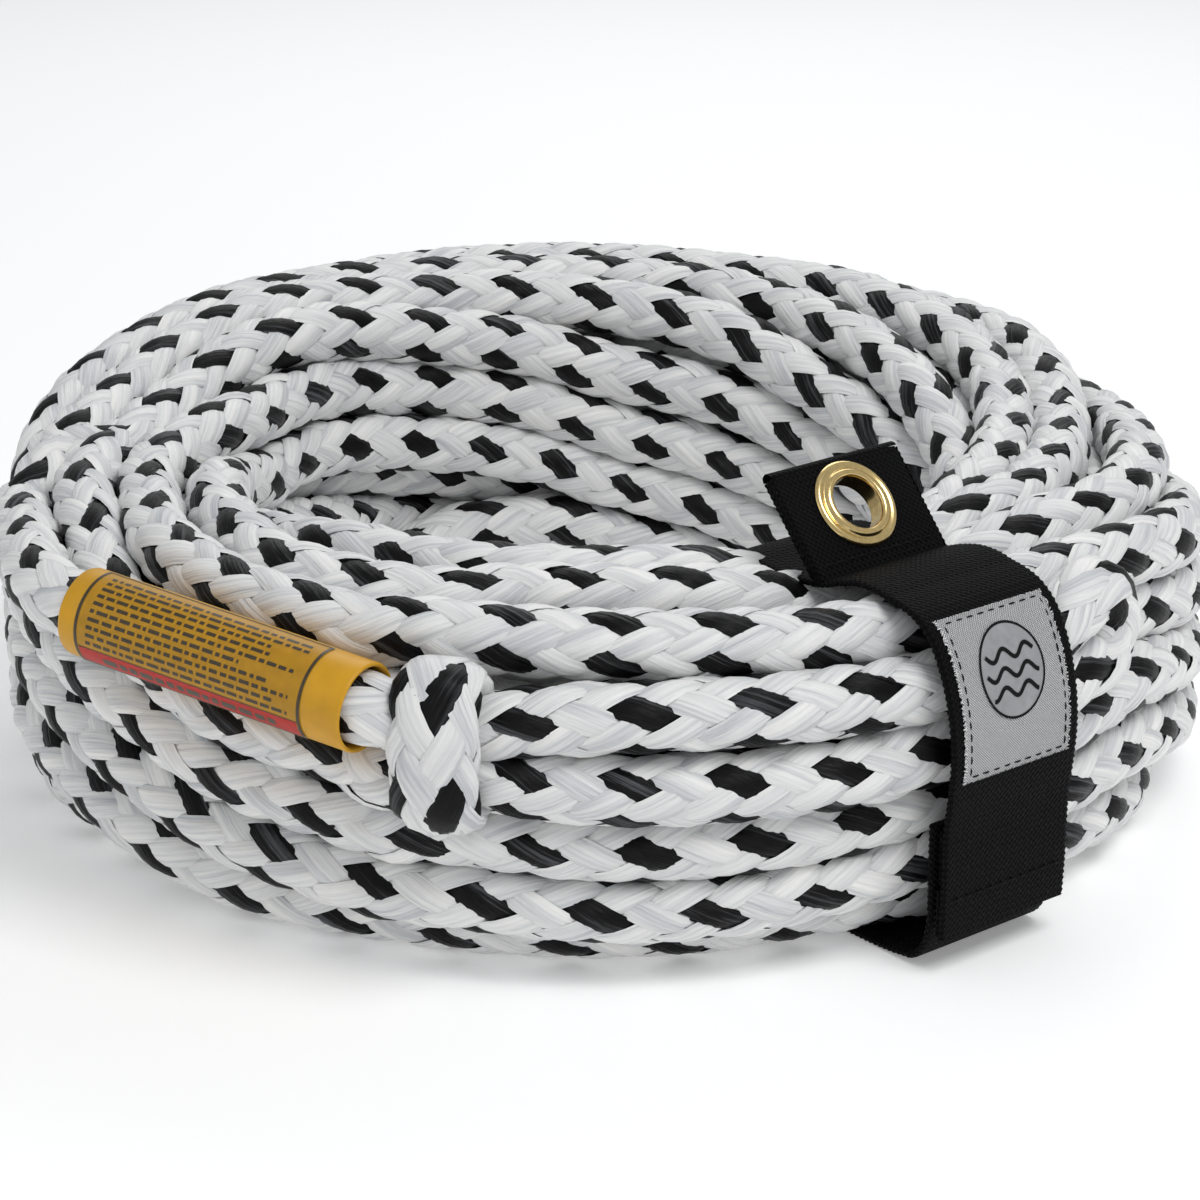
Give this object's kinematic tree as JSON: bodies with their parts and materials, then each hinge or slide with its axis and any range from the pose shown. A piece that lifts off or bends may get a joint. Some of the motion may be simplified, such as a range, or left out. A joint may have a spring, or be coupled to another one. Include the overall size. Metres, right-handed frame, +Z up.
{
  "type": "coiled tow rope",
  "caption": "Coiled hollow-braid water sports tow rope with a spliced eye, a yellow warning sleeve and a webbing keeper with a grommet tab.",
  "frame": {"origin": "on the surface the coil lies on, under the centre of the object's bounding box, 5.9 mm in front of the coil's own axis", "axes": "+Z up, along the coil's axis; -Y is the front, the side that carries the eye, the sleeve and the keeper; +X to the right seen from the front"},
  "size_m": [0.3, 0.3118, 0.1008],
  "materials": {
    "braid_white": "satin polyethylene film braid, white with black diamonds",
    "sleeve_yellow": "semi-gloss extruded tube",
    "print_amber": "printed panel, dark rules and a red band",
    "film_clear": "thin clear film",
    "webbing_black": "ribbed woven webbing",
    "hook_loop_black": "hook and loop tape",
    "thread_black": "sewing thread",
    "brass": "polished, light handling marks",
    "label_white": "satin woven label"
  },
  "bodies": {
    "rope": {"rope_coil": "braid_white", "rope_lead": "braid_white", "throat_turn": "braid_white", "eye_loop": "braid_white", "keeper_strap": "webbing_black"},
    "sleeve": {"warning_sleeve": "sleeve_yellow", "warning_label": "print_amber", "label_cover": "film_clear"},
    "flap": {"keeper_flap": "webbing_black", "flap_hem": "webbing_black", "hem_stitching": "thread_black", "woven_label": "label_white", "label_stitching": "thread_black", "loop_patch": "hook_loop_black", "loop_stitching": "thread_black"},
    "tail": {"keeper_tail": "webbing_black", "hook_patch": "hook_loop_black", "hook_stitching": "thread_black"},
    "tab": {"grommet_tab": "webbing_black", "tab_stitching": "thread_black", "grommet_eyelet": "brass", "grommet_washer": "brass"}
  },
  "joints": [
    {"name": "flap_peel", "type": "hinge", "parent": "rope", "child": "flap", "pos_m": [0.07819, -0.11131, 0.08075], "axis": [-0.7771, -0.6293, 0], "range_deg": [0, 110]},
    {"name": "tail_fall", "type": "hinge", "parent": "rope", "child": "tail", "pos_m": [0.0836, -0.118, 0.0019], "axis": [0.7771, 0.6293, 0], "range_deg": [0, 55]},
    {"name": "tab_fold", "type": "hinge", "parent": "rope", "child": "tab", "pos_m": [0.06139, -0.09057, 0.0814], "axis": [-0.7771, -0.6293, 0], "range_deg": [-60, 20], "stiffness_Nm_per_rad": 0.02},
    {"name": "sleeve_turn", "type": "hinge", "parent": "rope", "child": "sleeve", "pos_m": [-0.08077, -0.12199, 0.06947], "axis": [0.8473, -0.5229, -0.0927], "continuous": true}
  ],
  "couplings": [
    {"joint": "tail_fall", "follows": "flap_peel", "ratio": 0.5}
  ]
}
